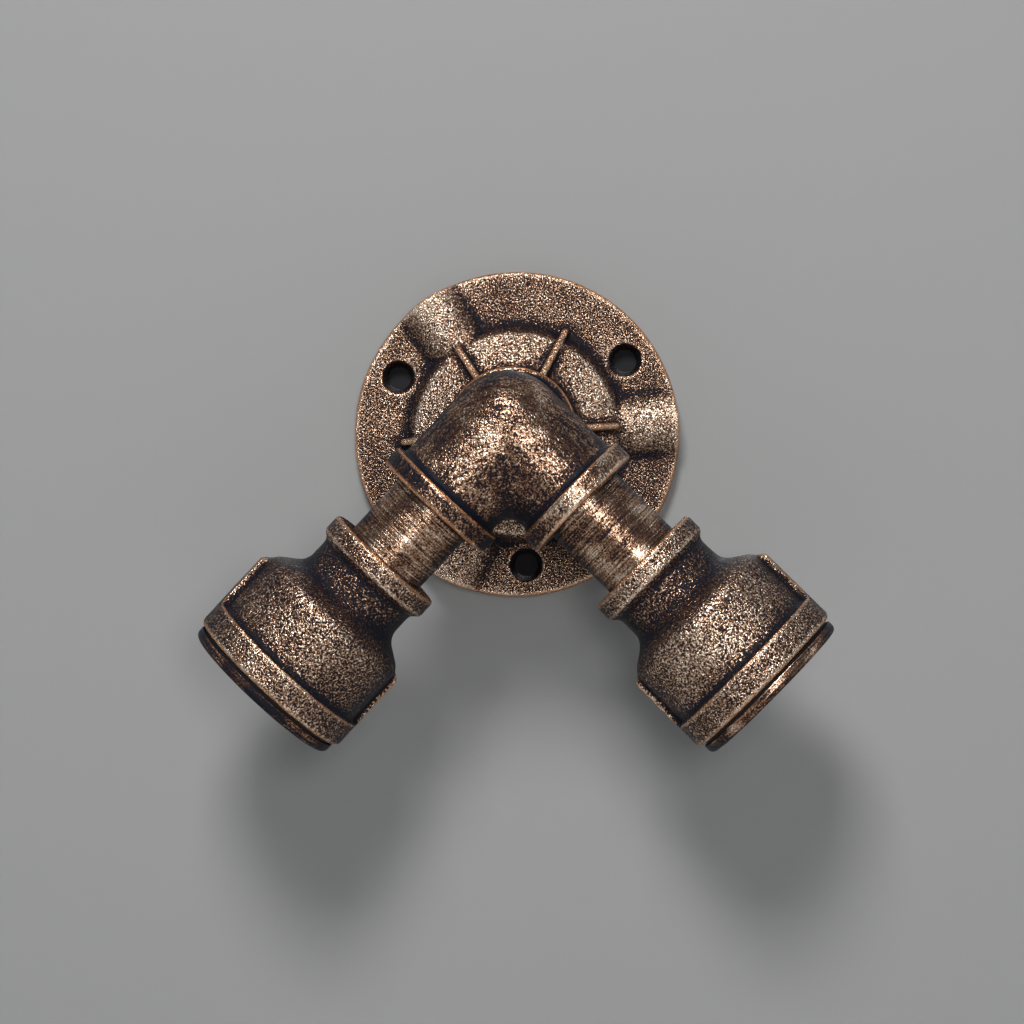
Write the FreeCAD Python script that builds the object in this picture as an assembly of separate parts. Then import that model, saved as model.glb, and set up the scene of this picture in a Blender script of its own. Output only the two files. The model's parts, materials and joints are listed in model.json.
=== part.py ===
import FreeCAD, Part
import math
import os
from FreeCAD import Placement, Rotation, Vector

# Two-headed wall light made of half-inch pipe fittings, in millimetres.
#
# Row frame: the wall is the plane y = 0 and the light stands out of it towards -Y. +Z is up and the
# origin is the middle of the flange's back face. A depth below is a distance out from the wall.
# Pieces along an arm are turned about a local +Z that runs from the elbow's centre out through the
# arm. Lengths inside a lamp head are counted from the reducer's small end.

# ---- pipe and thread -------------------------------------------------------------------------
PIPE_R = 10.65              # half-inch pipe, 21.3 outside
PIPE_BORE_R = 7.9
THREAD_R = 10.3             # pipe's threaded end, over the crests
THREAD_GAP = 0.05           # radial play between a pipe thread and its socket
THREAD_CHAMFER = 0.6
SOCKET_R = THREAD_R + THREAD_GAP
SOCKET_LEAD_IN = 1.0        # chamfer at a socket's mouth
SOCKET_REST = 0.7           # a socket's depth past the end of its pipe

# ---- wall flange -----------------------------------------------------------------------------
FLANGE_R = 41.0
FLANGE_T = 5.0
FLANGE_TURN = 3.0           # degrees that the flange stands turned on the wall
HUB_R = 15.0
HUB_TOP = 19.0
HUB_DRAFT = 1.2             # how much wider the hub is at its foot
DOME_FOOT_R = 27.6
DOME_SHOULDER_R = 25.2
DOME_SHOULDER = 8.6
DOME_TOP = 11.0
ENTRY_R = 9.3               # cable entry behind the pipe thread
ENTRY_DEPTH = 6.0
SCREW_PCD = 66.0
SCREW_COUNT = 3
SCREW_HOLE_R = 2.9
SCREW_SINK_R = 4.2
SCREW_SINK_DEPTH = 3.0
RIB_RISE = 3.4              # wide rounded ribs between dome and rim
RIB_HALF_WIDTH = 8.2        # at the rim
RIB_ROOT_HALF_WIDTH = 7.1   # at the dome
WEB_T = 2.0                 # thin gussets round the hub
WEB_ROOT = 2.0              # how deep a gusset is rooted in the hub
WEB_ROUND = 0.8
WEB_TOP = 17.8
WEB_END_R = 29.4
WEB_END_RISE = 2.0
RIB_WEB_END_R = 26.4
RIB_WEB_END_RISE = 1.2
HOLE_FROM_RIB = 30.0        # degrees from a rib to the next screw hole
WEB_FROM_RIB = 60.0

# ---- elbow with a side outlet ----------------------------------------------------------------
ELBOW_BODY_R = 14.0
ELBOW_REACH = 25.9          # from its centre to each face
ELBOW_BEAD_R = 16.0
ELBOW_BEAD_W = 5.2
ELBOW_CORE_R = 10.8
ELBOW_WAY_R = 9.2
CROTCH_R = 4.0
WALL_GAP = 3.6              # pipe showing between the hub and the elbow
WALL_GRIP = 10.4            # thread inside the elbow's back outlet
ARM_GRIP = 10.5             # thread inside each arm outlet
ARM_ANGLE = 44.3            # each arm's angle from straight down

# ---- lampholder's screw shell and skirt --------------------------------------------------------
SHELL_BORE_R = 13.3         # for an E27 lamp
SHELL_T = 0.35
SHELL_FOOT_R = 9.8
SHELL_FOOT_W = 2.6
SHELL_CONE_L = 3.8          # from the foot up to where the straight wall starts
SHELL_BACK = 1.6            # the shell ends this far inside the skirt's rim
SHELL_GAP = 0.3             # between shell and skirt
SKIRT_WALL = 3.25
SKIRT_STAND = 2.8           # how far the skirt stands out of the reducer
SEAT_GAP = 0.05             # between pieces that screw or slide on each other

# ---- reducer ---------------------------------------------------------------------------------
HEAD_GRIP = 8.8             # thread inside the reducer's small end
REDUCER_L = 41.2
SMALL_BEAD_R = 15.5
SMALL_BEAD_W = 6.4
NECK_R = 13.6
SHOULDER_START = 13.3       # where the neck's line meets the slope
SHOULDER_SLOPE = 55.0       # degrees from the axis
SHOULDER_ROUND = 4.5
REDUCER_WALL = 3.0          # across the slope between neck and bell
BELL_GAP = 0.4              # between bell and skirt
BELL_WALL = 2.9
BAND_RISE = 1.6
BAND_W = 7.2
LUG_W = 5.4
LUG_RISE = 1.5
LUG_SETBACK = 23.6          # from the mouth back to the lug's start
LUG_RAMP = 2.2

# ---- lampholder's cap and insert ---------------------------------------------------------------
BUSH_GAP = 0.4              # from the nipple's end to the bush
BUSH_T = 3.2
STEM_R = 4.95
STEM_BORE_R = 3.8
STEM_TAIL = 1.6             # stem standing out of the bush into the nipple
CAP_GAP = 0.4               # from the bush to the cap
CAP_FLOOR_T = 1.8
CAP_NOSE_GAP = 0.45         # between the cap's nose and the thread bore
CAP_WALL = 1.5
CAP_BELL_GAP = 0.7
CAP_CONE_GAP = 0.35         # between the cap's cone and the reducer's
CAP_LIP = 2.0               # cap standing past the insert
LEDGE_W = 1.6               # ledge in the cap that carries the insert
LEDGE_RISE = 1.2            # from the end of the cone inside to the ledge
INSERT_T = 2.2
BOSS_GAP = 0.6              # between the insert's boss and the ledge
BOSS_T = 1.2

# ---- mouth ring and its washer -----------------------------------------------------------------
WASHER_T = 0.45
WASHER_BACK = 1.9           # smaller than the band by this radius
RING_T = 2.6
RING_BACK = 1.2

# ---- centre contact and terminals, laid along the insert's x --------------------------------
LEAF_T = 0.4
LEAF_W = 4.4
LEAF_BEND_R = 0.9           # outside radius of the folded leaf's bend
LEAF_BEND_X = -7.6
LEAF_TIP_X = 2.6
LEAF_RISE = 7.0             # degrees that the tongue climbs at rest
LEAF_SPLIT = 0.1            # between the tongue and the bend that carries it
LEAF_FOOT_X = -0.4
BUTTON_R = 1.6
BUTTON_RISE = 0.35
POST_R = 1.7
POST_L = 2.3
POST_FLOOR = 1.0            # solid post above the end of a lead's hole
POST_SHANK_ROOT = 0.5
POST_SHANK_R = 0.8
POST_SCREW_R = 0.6
POST_SCREW_HEAD_R = 1.0
POST_SCREW_HEAD_T = 0.8
POST_SCREW_L = 2.4
POST_SCREW_RISE = 1.1       # from a post's free end to its screw
LINK_T = 0.5
LINK_W = 3.0
LINK_END = 0.9              # strip past its shank's axis

# ---- leads -----------------------------------------------------------------------------------
LEAD_R = 1.1
LEAD_GAP = 0.02
INNER_TURN_R = 5.0          # turn of the lead that lies nearer the wall
INNER_OFFSET = 2.0          # from the arm's axis towards the wall
OUTER_OFFSET = -1.8
INNER_REACH = 6.0           # from the flange's axis, once in the wall nipple
FERRULE_TIP = 7.2           # depth of the ferrules' tips
FERRULE_PIN_L = 6.0
FERRULE_PIN_R = 0.75
FERRULE_COLLAR_L = 5.0
FERRULE_COLLAR_R = 1.3

# ---- places that follow ----------------------------------------------------------------------
CENTRE_DEPTH = HUB_TOP + WALL_GAP + ELBOW_REACH
CENTRE = Vector(0, -CENTRE_DEPTH, 0)
OUTER_REACH = INNER_REACH - (INNER_OFFSET - OUTER_OFFSET)
OUTER_TURN_R = INNER_TURN_R + (INNER_OFFSET - OUTER_OFFSET)
SKIRT_BORE_R = SHELL_BORE_R + SHELL_T + SHELL_GAP
SKIRT_R = SKIRT_BORE_R + SKIRT_WALL
SKIRT_END = REDUCER_L + SKIRT_STAND
BELL_BORE_R = SKIRT_R + BELL_GAP
BELL_R = BELL_BORE_R + BELL_WALL
BAND_R = BELL_R + BAND_RISE
BAND_START = REDUCER_L - BAND_W
LUG_R = BELL_R + LUG_RISE
LUG_START = REDUCER_L - LUG_SETBACK
BUSH_START = HEAD_GRIP + BUSH_GAP
CAP_START = BUSH_START + BUSH_T + CAP_GAP
CAP_R = BELL_BORE_R - CAP_BELL_GAP
CAP_NOSE_R = SOCKET_R - CAP_NOSE_GAP
LEDGE_R = CAP_R - CAP_WALL - LEDGE_W
BOSS_R = LEDGE_R - BOSS_GAP
WASHER_R = BAND_R - WASHER_BACK
RING_R = BAND_R - RING_BACK
WASHER_START = REDUCER_L + SEAT_GAP
RING_START = WASHER_START + WASHER_T + SEAT_GAP
SLOPE = math.radians(SHOULDER_SLOPE)
SHOULDER_END = SHOULDER_START + (BELL_R - NECK_R) / math.tan(SLOPE)


def inner_cone_at(radius):
    """Length along the reducer at which the slope inside it has this radius."""
    return SHOULDER_START + REDUCER_WALL / math.sin(SLOPE) + (radius - NECK_R) / math.tan(SLOPE)


def cap_cone_at(radius, inset=0.0):
    """Length at which the cap's cone, inset along its normal, has this radius."""
    return inner_cone_at(radius) + (CAP_CONE_GAP + inset) / math.sin(SLOPE)


INSERT_START = cap_cone_at(LEDGE_R, CAP_WALL) + LEDGE_RISE
INSERT_LOW = INSERT_START - BOSS_T
INSERT_END = INSERT_START + INSERT_T
CAP_END = INSERT_END + CAP_LIP
SHELL_CONE_END = INSERT_END + SHELL_CONE_L
SIDES = {
    "left": {"turn": -(180.0 - ARM_ANGLE), "show": 16.4, "lug_turn": -9.0},
    "right": {"turn": 180.0 - ARM_ANGLE, "show": 18.9, "lug_turn": 3.0},
}
OUT = "parts"


# ---- shape helpers ---------------------------------------------------------------------------
def outline(corners, place):
    """Closed wire through corners (a, b, rounding radius), each put in space by place(a, b)."""
    count = len(corners)
    stops = []
    for i, (a, b, radius) in enumerate(corners):
        here = Vector(a, b, 0)
        if not radius:
            stops.append((here, None, here))
            continue
        back = Vector(corners[i - 1][0], corners[i - 1][1], 0) - here
        ahead = Vector(corners[(i + 1) % count][0], corners[(i + 1) % count][1], 0) - here
        half = back.getAngle(ahead) / 2
        back.normalize()
        ahead.normalize()
        reach = radius / math.tan(half)
        middle = here + (back + ahead).normalize() * (radius / math.sin(half) - radius)
        stops.append((here + back * reach, middle, here + ahead * reach))
    edges = []
    for i, (start, middle, end) in enumerate(stops):
        if middle is not None:
            arc = [place(p.x, p.y) for p in (start, middle, end)]
            edges.append(Part.Arc(*arc).toShape())
        following = stops[(i + 1) % count][0]
        if end.distanceToPoint(following) > 1e-6:
            line = Part.LineSegment(place(end.x, end.y), place(following.x, following.y))
            edges.append(line.toShape())
    return Part.Wire(edges)


def turned(corners):
    """Solid turned about +Z from corners (radius, height, rounding)."""
    face = Part.Face(outline(corners, lambda r, z: Vector(r, 0, z)))
    return face.revolve(Vector(0, 0, 0), Vector(0, 0, 1), 360)


def tube(outer_r, bore_r, start, end):
    return turned([(bore_r, start, 0), (outer_r, start, 0), (outer_r, end, 0), (bore_r, end, 0)])


def rod(radius, start, end, x=0.0, y=0.0):
    return Part.makeCylinder(radius, end - start, Vector(x, y, start))


def slab(corners, place, thickness, direction):
    """Flat plate whose outline lies in place()'s plane, half of thickness to each side of it."""
    face = Part.Face(outline(corners, place))
    face.translate(direction * (-thickness / 2))
    return face.extrude(direction * thickness)


def to_depth(shape):
    """From a solid turned about +Z to the same one standing out of the wall, depth along -Y."""
    moved = shape.copy()
    moved.Placement = Placement(Vector(0, 0, 0), Rotation(Vector(1, 0, 0), 90)).multiply(moved.Placement)
    return moved


def on_arm(shape, side, start=0.0):
    """From local axes, where +Z runs out along the arm, to the row frame."""
    moved = shape.copy()
    moved.translate(Vector(0, 0, start))
    turn = Placement(CENTRE, Rotation(Vector(0, 1, 0), SIDES[side]["turn"]))
    moved.Placement = turn.multiply(moved.Placement)
    return moved


def head_start(side):
    """Distance from the elbow's centre to the reducer's small end."""
    return ELBOW_REACH + SIDES[side]["show"]


def on_head(shape, side):
    return on_arm(shape, side, head_start(side))


def save(name, *solids):
    shape = solids[0] if len(solids) == 1 else Part.makeCompound(list(solids))
    shape.exportStep(os.path.join(OUT, name + ".step"))


def socket_bore(end, depth):
    """Threaded socket with its lead-in, cut from end downwards."""
    return turned([
        (0, end - depth, 0),
        (SOCKET_R, end - depth, 0),
        (SOCKET_R, end - SOCKET_LEAD_IN, 0),
        (SOCKET_R + SOCKET_LEAD_IN, end, 0),
        (SOCKET_R + SOCKET_LEAD_IN, end + 1, 0),
        (0, end + 1, 0),
    ])


# ---- wall flange -----------------------------------------------------------------------------
def around_flange(shape, angle):
    moved = shape.copy()
    moved.rotate(Vector(0, 0, 0), Vector(0, 0, 1), angle)
    return moved


def flange_rib():
    """Wide rounded rib from inside the dome to the rim, along +X, before the rim trims it."""
    sections = []
    for x, half in ((HUB_R, RIB_ROOT_HALF_WIDTH), (FLANGE_R + 1, RIB_HALF_WIDTH)):
        foot = FLANGE_T - 1
        ends = [Vector(x, -half, FLANGE_T), Vector(x, half, FLANGE_T)]
        top = Part.Arc(ends[0], Vector(x, 0, FLANGE_T + RIB_RISE), ends[1]).toShape()
        floor = [Vector(x, half, foot), Vector(x, -half, foot)]
        sides = Part.makePolygon([ends[1], *floor, ends[0]])
        sections.append(Part.Wire([top, *sides.Edges]))
    return Part.makeLoft(sections, True, True)


def flange_web(end_r, end_depth, foot):
    """Thin gusset from the hub's wall down to end_r, along +X, rounded along its top."""
    root_r = HUB_R - WEB_ROOT
    plate = slab(
        [(root_r, foot, 0), (root_r, WEB_TOP, 0), (end_r, end_depth, 1.0), (end_r, foot, 0)],
        lambda r, z: Vector(r, 0, z), WEB_T, Vector(0, 1, 0),
    )
    run = Vector(end_r - root_r, 0, end_depth - WEB_TOP)
    return plate.makeFillet(WEB_ROUND, [e for e in plate.Edges if runs_along(e, run)])


def runs_along(edge, run):
    """True on a straight edge in the direction of the run."""
    if edge.Curve.TypeId != "Part::GeomLine":
        return False
    return edge.tangentAt(edge.FirstParameter).cross(run).Length < 0.01 * run.Length


def make_flange():
    body = turned([
        (0, 0, 0),
        (FLANGE_R, 0, 0.4),
        (FLANGE_R, FLANGE_T, 0.8),
        (DOME_FOOT_R, FLANGE_T, 1.2),
        (DOME_SHOULDER_R, DOME_SHOULDER, 1.8),
        (HUB_R + HUB_DRAFT, DOME_TOP, 2.0),
        (HUB_R, HUB_TOP, 0.8),
        (0, HUB_TOP, 0),
    ])
    rib = flange_rib().common(Part.makeCylinder(FLANGE_R, HUB_TOP))
    web = flange_web(WEB_END_R, FLANGE_T + WEB_END_RISE, FLANGE_T - 1)
    rib_web = flange_web(RIB_WEB_END_R, FLANGE_T + RIB_RISE + RIB_WEB_END_RISE, FLANGE_T)
    pieces = []
    cuts = [
        Part.makeCylinder(ENTRY_R, ENTRY_DEPTH + 1, Vector(0, 0, -1)),
        socket_bore(HUB_TOP, HUB_TOP - ENTRY_DEPTH),
    ]
    hole = turned([
        (0, -1, 0),
        (SCREW_HOLE_R, -1, 0),
        (SCREW_HOLE_R, FLANGE_T - SCREW_SINK_DEPTH, 0),
        (SCREW_SINK_R, FLANGE_T, 0),
        (SCREW_SINK_R, FLANGE_T + 1, 0),
        (0, FLANGE_T + 1, 0),
    ])
    hole.translate(Vector(SCREW_PCD / 2, 0, 0))
    for i in range(SCREW_COUNT):
        angle = FLANGE_TURN + i * 360.0 / SCREW_COUNT
        pieces.append(around_flange(rib, angle))
        pieces.append(around_flange(rib_web, angle))
        pieces.append(around_flange(web, angle + WEB_FROM_RIB))
        cuts.append(around_flange(hole, angle + HOLE_FROM_RIB))
    return to_depth(body.fuse(pieces).cut(cuts).removeSplitter())


def make_wall_nipple():
    start = ENTRY_DEPTH + SOCKET_REST
    pipe = pipe_nipple(HUB_TOP - start, WALL_GAP, WALL_GRIP)
    pipe.translate(Vector(0, 0, start))
    return to_depth(pipe)


def pipe_nipple(first_grip, show, second_grip):
    """Pipe with a threaded end in each of two sockets, and its full wall between their faces."""
    inside = 0.3            # the full wall reaches this far into each lead-in
    taper = 0.5
    end = first_grip + show + second_grip
    first, last = first_grip - inside, first_grip + show + inside
    return turned([
        (PIPE_BORE_R, 0, 0),
        (THREAD_R - THREAD_CHAMFER, 0, 0),
        (THREAD_R, THREAD_CHAMFER, 0),
        (THREAD_R, first - taper, 0),
        (PIPE_R, first, 0),
        (PIPE_R, last, 0),
        (THREAD_R, last + taper, 0),
        (THREAD_R, end - THREAD_CHAMFER, 0),
        (THREAD_R - THREAD_CHAMFER, end, 0),
        (PIPE_BORE_R, end, 0),
    ])


# ---- elbow -----------------------------------------------------------------------------------
def make_elbow():
    """Three equal outlets round a ball: one to the wall and, square to it, one to each arm."""
    bead_start = ELBOW_REACH - ELBOW_BEAD_W
    barrel = rod(ELBOW_BODY_R, 0, bead_start + 1)
    collar = turned([
        (0, bead_start - 3, 0),
        (ELBOW_BODY_R, bead_start - 3, 0),
        (ELBOW_BODY_R, bead_start, 1.2),
        (ELBOW_BEAD_R, bead_start, 0.5),
        (ELBOW_BEAD_R, ELBOW_REACH, 0.8),
        (0, ELBOW_REACH, 0),
    ])
    way = rod(ELBOW_WAY_R, 0, ELBOW_REACH)
    socket = socket_bore(ELBOW_REACH, ARM_GRIP + SOCKET_REST)
    spin = [Rotation(Vector(0, 1, 0), SIDES[s]["turn"]) for s in SIDES]
    spin.append(Rotation(Vector(1, 0, 0), -90))

    def three(shape):
        found = []
        for turn in spin:
            moved = shape.copy()
            moved.Placement = Placement(Vector(0, 0, 0), turn)
            found.append(moved)
        return found

    body = Part.makeSphere(ELBOW_BODY_R).fuse(three(barrel)).removeSplitter().Solids[0]
    body = body.makeFillet(CROTCH_R, [e for e in body.Edges if is_crotch(e, body)])
    body = body.fuse(three(collar))
    core = Part.makeSphere(ELBOW_CORE_R).fuse(three(way) + three(socket))
    body = body.cut(core).removeSplitter()
    body.translate(CENTRE)
    return body


def is_crotch(edge, body):
    """True on an edge where two barrels meet, away from the ball."""
    faces = body.ancestorsOfType(edge, Part.Face)
    if len(faces) != 2 or edge.Closed:
        return False
    return all(f.Surface.TypeId == "Part::GeomCylinder" for f in faces)


# ---- reducer ---------------------------------------------------------------------------------
def make_reducer(side):
    body = turned([
        (SOCKET_R, SOCKET_LEAD_IN, 0),
        (SOCKET_R + SOCKET_LEAD_IN, 0, 0),
        (SMALL_BEAD_R, 0, 0.8),
        (SMALL_BEAD_R, SMALL_BEAD_W - 1.6, 0.4),
        (NECK_R, SMALL_BEAD_W, 0.8),
        (NECK_R, SHOULDER_START, SHOULDER_ROUND),
        (BELL_R, SHOULDER_END, SHOULDER_ROUND),
        (BELL_R, BAND_START, 0.6),
        (BAND_R, BAND_START, 0.5),
        (BAND_R, REDUCER_L, 1.2),
        (BELL_BORE_R, REDUCER_L, 0.3),
        (BELL_BORE_R, inner_cone_at(BELL_BORE_R), 2.0),
        (SOCKET_R, inner_cone_at(SOCKET_R), 0),
    ])
    lugs = []
    for turn in (0, 180):
        lug = slab(
            [
                (BELL_R - 2, LUG_START, 0),
                (LUG_R, LUG_START + LUG_RAMP, 0.9),
                (LUG_R, BAND_START + 1, 0),
                (BELL_R - 2, BAND_START + 1, 0),
            ],
            lambda r, z: Vector(r, 0, z), LUG_W, Vector(0, 1, 0),
        )
        lug.rotate(Vector(0, 0, 0), Vector(0, 0, 1), turn + SIDES[side]["lug_turn"])
        lugs.append(lug)
    return body.fuse(lugs).removeSplitter()


# ---- lampholder ------------------------------------------------------------------------------
def make_bush():
    end = BUSH_START + BUSH_T
    return tube(THREAD_R, STEM_R + SEAT_GAP, BUSH_START, end)


def make_stem():
    return tube(STEM_R, STEM_BORE_R, BUSH_START - STEM_TAIL, CAP_START + CAP_FLOOR_T)


def make_cap():
    """Cup that the stem holds, with a ledge inside for the insert."""
    floor = CAP_START + CAP_FLOOR_T
    bore = CAP_R - CAP_WALL
    well_r = CAP_NOSE_R - CAP_WALL
    return turned([
        (STEM_R + SEAT_GAP, CAP_START, 0),
        (CAP_NOSE_R, CAP_START, 0.8),
        (CAP_NOSE_R, cap_cone_at(CAP_NOSE_R), 0),
        (CAP_R, cap_cone_at(CAP_R), 1.5),
        (CAP_R, CAP_END, 0.3),
        (bore, CAP_END, 0),
        (bore, INSERT_START - LEAD_GAP, 0),
        (LEDGE_R, INSERT_START - LEAD_GAP, 0),
        (LEDGE_R, cap_cone_at(LEDGE_R, CAP_WALL), 0),
        (well_r, cap_cone_at(well_r, CAP_WALL), 0),
        (well_r, floor, 0),
        (STEM_R + SEAT_GAP, floor, 0),
    ])


def make_insert():
    """Porcelain disc with a boss below and holes for the posts' and the link's shanks."""
    body = turned([
        (0, INSERT_LOW, 0),
        (BOSS_R, INSERT_LOW, 0.3),
        (BOSS_R, INSERT_START, 0),
        (CAP_R - CAP_WALL - SEAT_GAP, INSERT_START, 0),
        (CAP_R - CAP_WALL - SEAT_GAP, INSERT_END, 0.3),
        (0, INSERT_END, 0),
    ])
    hole_r = POST_SHANK_R + LEAD_GAP
    places = (OUTER_OFFSET, INNER_OFFSET, link_end_x())
    return body.cut([rod(hole_r, INSERT_LOW - 1, INSERT_END + 1, x) for x in places])


def make_skirt():
    """Threaded skirt that stands on the insert; the mouth ring runs on its outside."""
    start = INSERT_END + SEAT_GAP
    collar = CAP_END + SEAT_GAP
    return turned([
        (SKIRT_BORE_R, start, 0),
        (CAP_R - CAP_WALL - SEAT_GAP, start, 0),
        (CAP_R - CAP_WALL - SEAT_GAP, collar, 0),
        (SKIRT_R, collar, 0),
        (SKIRT_R, SKIRT_END, 0.5),
        (SKIRT_BORE_R, SKIRT_END, 0.5),
    ])


def make_shell():
    """Screw shell: a flat foot, a short cone beside the contact, then the straight wall."""
    outer = SHELL_BORE_R + SHELL_T
    foot = INSERT_END + LEAD_GAP
    foot_end_r = SHELL_FOOT_R + SHELL_FOOT_W
    end = SKIRT_END - SHELL_BACK
    body = turned([
        (SHELL_FOOT_R, foot, 0),
        (foot_end_r, foot, 0.3),
        (outer, SHELL_CONE_END, 0),
        (outer, end, 0),
        (SHELL_BORE_R, end, 0),
        (SHELL_BORE_R, SHELL_CONE_END, 0),
        (foot_end_r - SHELL_T, foot + SHELL_T, 0.2),
        (SHELL_FOOT_R, foot + SHELL_T, 0),
    ])
    return body.cut(rod(POST_SHANK_R + LEAD_GAP, foot - 1, foot + 1, link_end_x()))


def make_washer():
    return tube(WASHER_R, SKIRT_R + SEAT_GAP, WASHER_START, WASHER_START + WASHER_T)


def make_ring():
    """Ring that screws onto the skirt and draws the lampholder against the reducer's mouth."""
    return turned([
        (SKIRT_R + SEAT_GAP, RING_START, 0),
        (RING_R, RING_START, 0.2),
        (RING_R, RING_START + RING_T, 1.3),
        (SKIRT_R + SEAT_GAP, RING_START + RING_T, 0.4),
    ])


# ---- contact and terminals -------------------------------------------------------------------
def link_end_x():
    """Middle of the shell's foot, where the link's shank is riveted over."""
    return SHELL_FOOT_R + SHELL_FOOT_W / 2


def strip(corners, width):
    """Sheet-metal shape drawn in the x-z plane, width across y."""
    return slab(corners, lambda x, z: Vector(x, 0, z), width, Vector(0, 1, 0))


def leaf_bend_z():
    """Height of the bend's middle over the insert."""
    return INSERT_END + LEAD_GAP + LEAF_BEND_R


def make_contact_base():
    """Folded leaf's riveted foot and its bend."""
    foot_z = INSERT_END + LEAD_GAP
    foot = strip([
        (LEAF_BEND_X, foot_z, 0),
        (LEAF_FOOT_X, foot_z, 0),
        (LEAF_FOOT_X, foot_z + LEAF_T, 0),
        (LEAF_BEND_X, foot_z + LEAF_T, 0),
    ], LEAF_W)
    middle = Vector(LEAF_BEND_X, 0, leaf_bend_z())
    across = Vector(0, 1, 0)
    inner_r = LEAF_BEND_R - LEAF_T
    start = middle - across * (LEAF_W / 2)
    bend = Part.makeCylinder(LEAF_BEND_R, LEAF_W, start, across)
    bend = bend.cut(Part.makeCylinder(inner_r, LEAF_W, start, across))
    side = 2 * LEAF_BEND_R
    right_half = Part.makeBox(side, LEAF_W, side, start - Vector(0, 0, LEAF_BEND_R))
    body = foot.fuse(bend.cut(right_half)).removeSplitter()
    return body.cut(rod(POST_SHANK_R + LEAD_GAP, foot_z - 1, foot_z + 1, OUTER_OFFSET))


def make_contact_tongue():
    """Tongue that springs about the bend, with the button that a lamp's tip presses."""
    start_x = LEAF_BEND_X + LEAF_SPLIT
    low = leaf_bend_z() + LEAF_BEND_R - LEAF_T
    flat = strip([
        (start_x, low, 0),
        (LEAF_TIP_X, low, 0),
        (LEAF_TIP_X, low + LEAF_T, 0),
        (start_x, low + LEAF_T, 0),
    ], LEAF_W)
    button = turned([
        (0, low + LEAF_T - 0.1, 0),
        (BUTTON_R, low + LEAF_T - 0.1, 0),
        (BUTTON_R, low + LEAF_T + BUTTON_RISE, 0.3),
        (0, low + LEAF_T + BUTTON_RISE, 0),
    ])
    body = flat.fuse(button)
    body.rotate(Vector(start_x, 0, low), Vector(0, 1, 0), -LEAF_RISE)
    return body


def make_posts():
    """Two clamp posts below the insert; the outer one is riveted over on the contact's foot."""
    posts = []
    for x, top in ((OUTER_OFFSET, INSERT_END + LEAF_T), (INNER_OFFSET, INSERT_LOW + BOSS_T)):
        barrel = rod(POST_R, post_low(), INSERT_LOW - LINK_T - LEAD_GAP, x)
        shank = rod(POST_SHANK_R, INSERT_LOW - LINK_T - POST_SHANK_ROOT, top, x)
        bore = rod(LEAD_R + LEAD_GAP, post_low() - 1, INSERT_LOW - LINK_T - POST_FLOOR, x)
        outward = 1 if x > 0 else -1
        screw_hole = Part.makeCylinder(
            POST_SCREW_R + LEAD_GAP, POST_R, Vector(x + outward * LEAD_R * 0.5, 0, post_screw_z()),
            Vector(outward, 0, 0))
        posts.append(barrel.fuse(shank).cut([bore, screw_hole]))
    return posts


def post_low():
    return INSERT_LOW - LINK_T - POST_L


def post_screw_z():
    return post_low() + POST_SCREW_RISE


def make_post_screws():
    """A clamp screw for each post, standing outwards from it."""
    screws = []
    for x in (OUTER_OFFSET, INNER_OFFSET):
        outward = 1 if x > 0 else -1
        axis = Vector(outward, 0, 0)
        tip = Vector(x + outward * (LEAD_R + 2 * LEAD_GAP), 0, post_screw_z())
        shank = Part.makeCylinder(POST_SCREW_R, POST_SCREW_L, tip, axis)
        seat = tip + axis * (POST_SCREW_L - POST_SCREW_HEAD_T)
        head = Part.makeCylinder(POST_SCREW_HEAD_R, POST_SCREW_HEAD_T, seat, axis)
        screws.append(shank.fuse(head))
    return screws


def make_link():
    """Strip from the inner post to the screw shell's foot, under the insert."""
    low = INSERT_LOW - LINK_T
    end = link_end_x()
    plate = strip([
        (INNER_OFFSET - LINK_W / 2, low, 0),
        (end + LINK_END, low, 0),
        (end + LINK_END, INSERT_LOW - LEAD_GAP, 0),
        (INNER_OFFSET - LINK_W / 2, INSERT_LOW - LEAD_GAP, 0),
    ], LINK_W)
    shank = rod(POST_SHANK_R, low + 0.1, INSERT_END + SHELL_T, end)
    return plate.fuse(shank).cut(rod(POST_SHANK_R + LEAD_GAP, low - 1, INSERT_LOW + 1, INNER_OFFSET))


# ---- leads -----------------------------------------------------------------------------------
def lead_path(side, offset, reach, turn_r):
    """From the ferrule along the wall nipple, round inside the elbow and out to the post."""
    start_y = CENTRE_DEPTH - FERRULE_TIP - FERRULE_PIN_L - LEAD_GAP
    end_z = head_start(side) + INSERT_LOW - LINK_T - POST_FLOOR - LEAD_GAP
    middle = Vector(0, offset + turn_r, reach + turn_r)
    dip = turn_r * math.sqrt(0.5)
    stops = [
        Vector(0, start_y, reach),
        Vector(0, offset + turn_r, reach),
        Vector(0, middle.y - dip, middle.z - dip),
        Vector(0, offset, reach + turn_r),
        Vector(0, offset, end_z),
    ]
    return Part.Wire([
        Part.LineSegment(stops[0], stops[1]).toShape(),
        Part.Arc(stops[1], stops[2], stops[3]).toShape(),
        Part.LineSegment(stops[3], stops[4]).toShape(),
    ])


def make_lead(side, offset, reach, turn_r):
    path = lead_path(side, offset, reach, turn_r)
    start = path.Edges[0].Vertexes[0].Point
    ring = Part.Wire(Part.makeCircle(LEAD_R, start, Vector(0, -1, 0)))
    lead = path.makePipeShell([ring], True, False)
    print(side, "lead: length", round(path.Length, 1), "turn radius", round(turn_r, 1),
          "volume ratio", round(lead.Volume / (math.pi * LEAD_R ** 2 * path.Length), 4))
    return lead


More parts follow.
